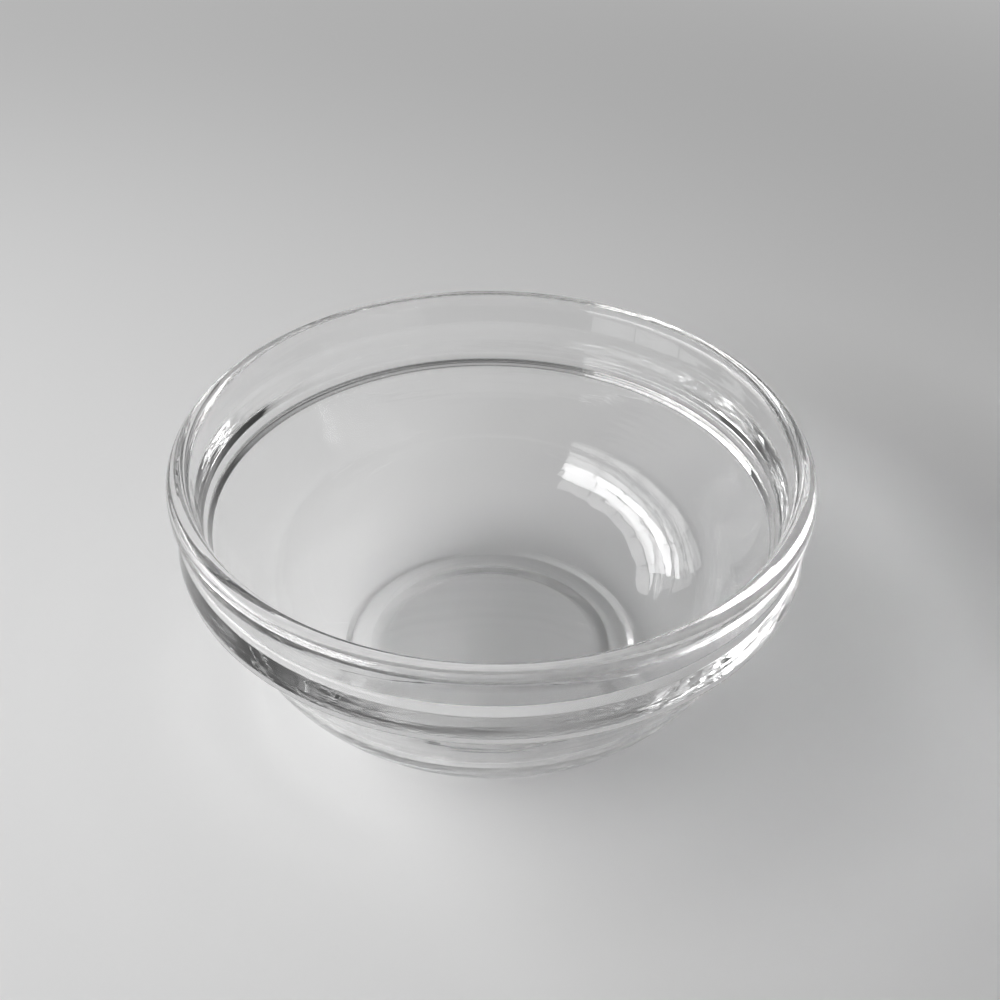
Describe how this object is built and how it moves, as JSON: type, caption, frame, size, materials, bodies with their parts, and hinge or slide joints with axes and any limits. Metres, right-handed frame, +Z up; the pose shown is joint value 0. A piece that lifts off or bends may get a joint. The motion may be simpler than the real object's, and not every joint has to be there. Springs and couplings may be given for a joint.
{
  "type": "prep bowl",
  "caption": "Round clear glass prep bowl with a rolled rim, an upright collar over a stacking ledge, a round belly and a foot ring.",
  "frame": {"origin": "centre of the foot ring, on the surface that the bowl stands on", "axes": "+Z up along the bowl's axis of revolution; X and Y lie in the plane of the foot"},
  "size_m": [0.105, 0.105, 0.045],
  "materials": {
    "glass": "clear pressed glass, fire-polished"
  },
  "bodies": {
    "root": {"bowl": "glass"}
  },
  "joints": []
}
